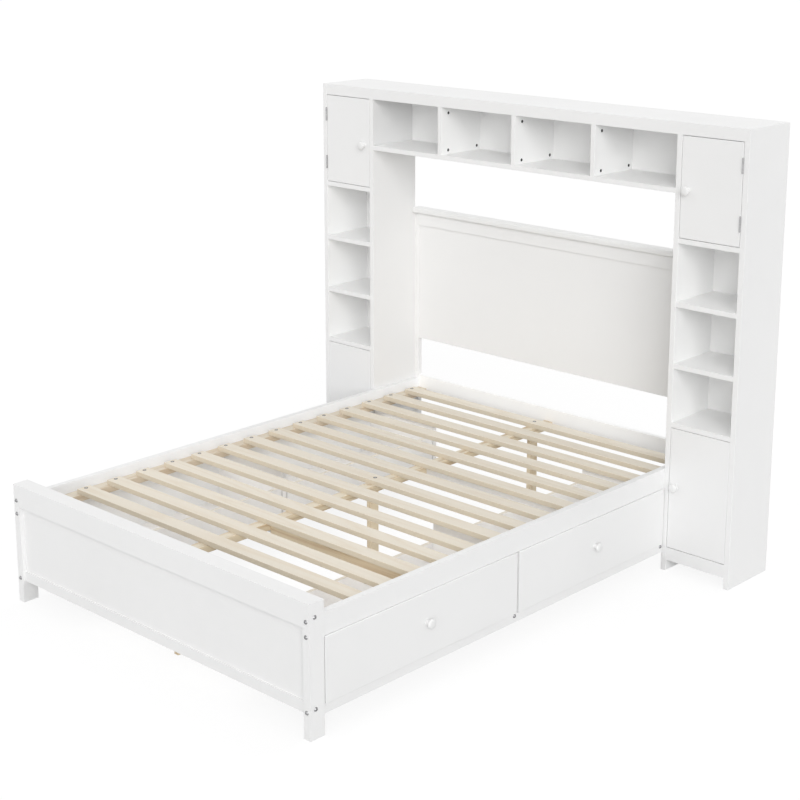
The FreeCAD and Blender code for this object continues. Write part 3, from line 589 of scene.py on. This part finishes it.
def knob_rings(height):
    """A turned knob's profile: a foot, a waisted neck and a head with a flattened dome."""
    rings = [(KNOB_FOOT, 0.0)]
    for step in range(KNOB_RINGS + 1):
        share = step / KNOB_RINGS
        ease = (1 - math.cos(math.pi * share)) / 2
        reach = KNOB_FOOT + (KNOB_NECK - KNOB_FOOT) * ease
        rings.append((reach, KNOB_FOOT_HEIGHT + (KNOB_NECK_HEIGHT - KNOB_FOOT_HEIGHT) * share))
    for step in range(1, KNOB_RINGS + 1):
        turn = math.pi / 2 * step / KNOB_RINGS
        reach = KNOB_NECK + (KNOB_RIM - KNOB_NECK) * math.sin(turn)
        rise = (KNOB_RIM_HEIGHT - KNOB_NECK_HEIGHT) * (1 - math.cos(turn))
        rings.append((reach, KNOB_NECK_HEIGHT + rise))
    power = 2 / KNOB_FLATNESS
    for step in range(1, KNOB_RINGS):
        turn = math.pi / 2 * step / KNOB_RINGS
        reach = KNOB_RIM * math.cos(turn) ** power
        rise = (height - KNOB_RIM_HEIGHT) * math.sin(turn) ** power
        rings.append((reach, KNOB_RIM_HEIGHT + rise))
    return rings


for node in [name for name in nodes if "knob" in name]:
    low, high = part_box(node)
    centre = (low + high) / 2
    outward = Vector((0, -1, 0))
    if "drawer" in node:
        outward = Vector((math.copysign(1, centre.x), 0, 0))
    height = abs((high - low).dot(outward))
    place = outward_place(centre - outward * height / 2, outward)
    bm = bmesh.new()
    turned(bm, knob_rings(height), KNOB_STEPS, place)
    knob = add_piece(node + "_turned", bm, KNOB_PAINTED_SHADE_PAINT, body_of(node))
    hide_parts(node)


# Bolts and screws

def socket_head(bm, radius, height, recess, place):
    """A domed head with a recess in its crown."""
    ball = (radius ** 2 + height ** 2) / (2 * height)
    slope = math.asin(radius / ball)
    rings = [(radius, -RECESS_DEPTH), (radius, 0.0)]
    for step in range(1, DOME_RINGS):
        turn = slope * (1 - step / DOME_RINGS)
        rings.append((ball * math.sin(turn), ball * math.cos(turn) - ball + height))
    crown = rings[-1][1]
    rings += [(recess, crown), (recess, crown - RECESS_DEPTH)]
    turned(bm, rings, HEAD_STEPS, place)


def bolt_head(bm, place):
    """A cone-shaped cap with a hexagonal socket in its flat crown."""
    rings = [
        (BOLT_RADIUS, -BOLT_LIP),
        (BOLT_RADIUS, BOLT_LIP),
        (BOLT_CROWN, BOLT_HEIGHT),
        (hexagon(BOLT_SOCKET), BOLT_HEIGHT),
        (hexagon(BOLT_SOCKET), BOLT_HEIGHT - BOLT_SOCKET_DEPTH),
    ]
    turned(bm, rings, HEAD_STEPS, place)


bm = bmesh.new()
for low, high in solids("frame_bolts"):
    centre = (low + high) / 2
    size = high - low
    axis = max(range(3), key=lambda index: size[index])
    outward = Vector((0, 0, 0))
    outward[axis] = math.copysign(1, centre[axis])
    seat = centre + outward * (size[axis] / 2 - BOLT_SEAT)
    bolt_head(bm, outward_place(seat, outward))
bolts = add_piece("frame_bolt_heads", bm, BOLT_STEEL, body_of("frame_bolts"))
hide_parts("frame_bolts")

slat_boxes = sorted(solids("slats"), key=lambda box: box[0].y)
screw_seats = []
for low, high in slat_boxes:
    screw_seats.append(Vector((low.x + SCREW_INSET, (low.y + high.y) / 2, high.z)))
for row in LEG_SLATS:
    low, high = slat_boxes[row]
    screw_seats.append(Vector((BED_MIDDLE, (low.y + high.y) / 2, high.z)))
screws = bmesh.new()
rims = bmesh.new()
for seat in screw_seats:
    place = outward_place(seat, Vector((0, 0, 1)))
    socket_head(screws, SCREW_RADIUS, SCREW_HEIGHT, cross(CROSS_LENGTH, CROSS_WIDTH), place)
    turned(rims, [(SHADE_RING_RADIUS, -SHADE_RING_HEIGHT), (SHADE_RING_RADIUS, SHADE_RING_HEIGHT)], HEAD_STEPS, place)
add_piece("slat_screws", screws, ZINC, body_of("slats"))
# The dark rings round the screw heads are painted shade
add_piece("slat_screw_painted_shade_rings", rims, DARK_STEEL_AND_SHADE, body_of("slats"))

bm = bmesh.new()
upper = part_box("bridge_fascia")[0].z - CONNECTOR_UNDER_FASCIA
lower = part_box("bridge_bottom")[1].z + CONNECTOR_OVER_FLOOR
for low, high in solids("bridge_dividers"):
    front = low.y + CONNECTOR_INSET_FRONT
    back = high.y - CONNECTOR_INSET_BACK
    for y, z in ((front, lower), (front, upper), (back, lower)):
        place = outward_place(Vector((high.x, y, z)), Vector((1, 0, 0)))
        socket_head(bm, CONNECTOR_RADIUS, CONNECTOR_HEIGHT, hexagon(BOLT_SOCKET), place)
add_piece("divider_connectors", bm, DARK_STEEL_AND_SHADE, body_of("bridge_dividers"))


# Stage, light and camera

def background_share(tree):
    """1 where the camera, a reflection or a transparent surface looks, else 0."""
    path = tree.nodes.new("ShaderNodeLightPath")
    seen = path.outputs["Is Camera Ray"]
    for kind in ("Is Glossy Ray", "Is Transmission Ray"):
        seen = math_node(tree, "MAXIMUM", seen, path.outputs[kind])
    return seen


def floor_material():
    """A pale matt floor that shows almost white and keeps a faint shadow."""
    material, tree, shader = new_material("floor_white")
    shader.inputs["Base Color"].default_value = FLOOR_BOUNCE
    shader.inputs["Roughness"].default_value = FLOOR_ROUGHNESS
    matt = tree.nodes.new("ShaderNodeBsdfDiffuse")
    matt.inputs["Color"].default_value = FLOOR_WHITE
    glow = tree.nodes.new("ShaderNodeEmission")
    glow.inputs["Strength"].default_value = GLOW_STRENGTH
    shown = mix_shader(tree, FLOOR_GLOW, matt.outputs["BSDF"], glow.outputs["Emission"])
    whole = mix_shader(tree, background_share(tree), shader.outputs["BSDF"], shown)
    tree.links.new(whole, tree.nodes["Material Output"].inputs["Surface"])
    return material


bm = bmesh.new()
bmesh.ops.create_grid(bm, x_segments=FLOOR_CELLS, y_segments=FLOOR_CELLS, size=FLOOR_REACH)
floor_mesh = bpy.data.meshes.new("floor")
bm.to_mesh(floor_mesh)
bm.free()
floor_mesh.materials.append(floor_material())
floor = bpy.data.objects.new("floor", floor_mesh)
bpy.context.scene.collection.objects.link(floor)

world = bpy.data.worlds.new("studio")
world.use_nodes = True
sky = world.node_tree
light = sky.nodes["Background"]
backdrop = sky.nodes.new("ShaderNodeBackground")
for shade, strength in ((light, SKY_LIGHT), (backdrop, BACKDROP_LIGHT)):
    shade.inputs["Color"].default_value = WHITE
    shade.inputs["Strength"].default_value = strength
shades = (light.outputs["Background"], backdrop.outputs["Background"])
both = mix_shader(sky, background_share(sky), *shades)
sky.links.new(both, sky.nodes["World Output"].inputs["Surface"])
bpy.context.scene.world = world

for name, lamp in LAMPS.items():
    lamp_data = bpy.data.lights.new(name, "SUN")
    lamp_data.energy = lamp["strength"]
    lamp_data.angle = math.radians(lamp["softness"])
    sun = bpy.data.objects.new(name, lamp_data)
    sun.rotation_euler = Vector(lamp["from"]).to_track_quat("Z", "Y").to_euler()
    bpy.context.scene.collection.objects.link(sun)

fill_data = bpy.data.lights.new("under_slats", "AREA")
fill_data.shape = "RECTANGLE"
fill_data.size, fill_data.size_y = FILL_SIZE
fill_data.energy = FILL_POWER
fill = bpy.data.objects.new("under_slats", fill_data)
fill.location = FILL_PLACE
fill.visible_camera = False
fill.visible_glossy = False
bpy.context.scene.collection.objects.link(fill)

camera_data = bpy.data.cameras.new("camera")
camera_data.lens = CAMERA_LENS
camera_data.shift_y = CAMERA_SHIFT
camera = bpy.data.objects.new("camera", camera_data)
camera.location = CAMERA_PLACE
camera.rotation_euler = (math.radians(90 - CAMERA_DOWN), 0, math.radians(CAMERA_TURN))
bpy.context.scene.collection.objects.link(camera)
bpy.context.scene.camera = camera
bpy.context.scene.view_settings.view_transform = "Standard"
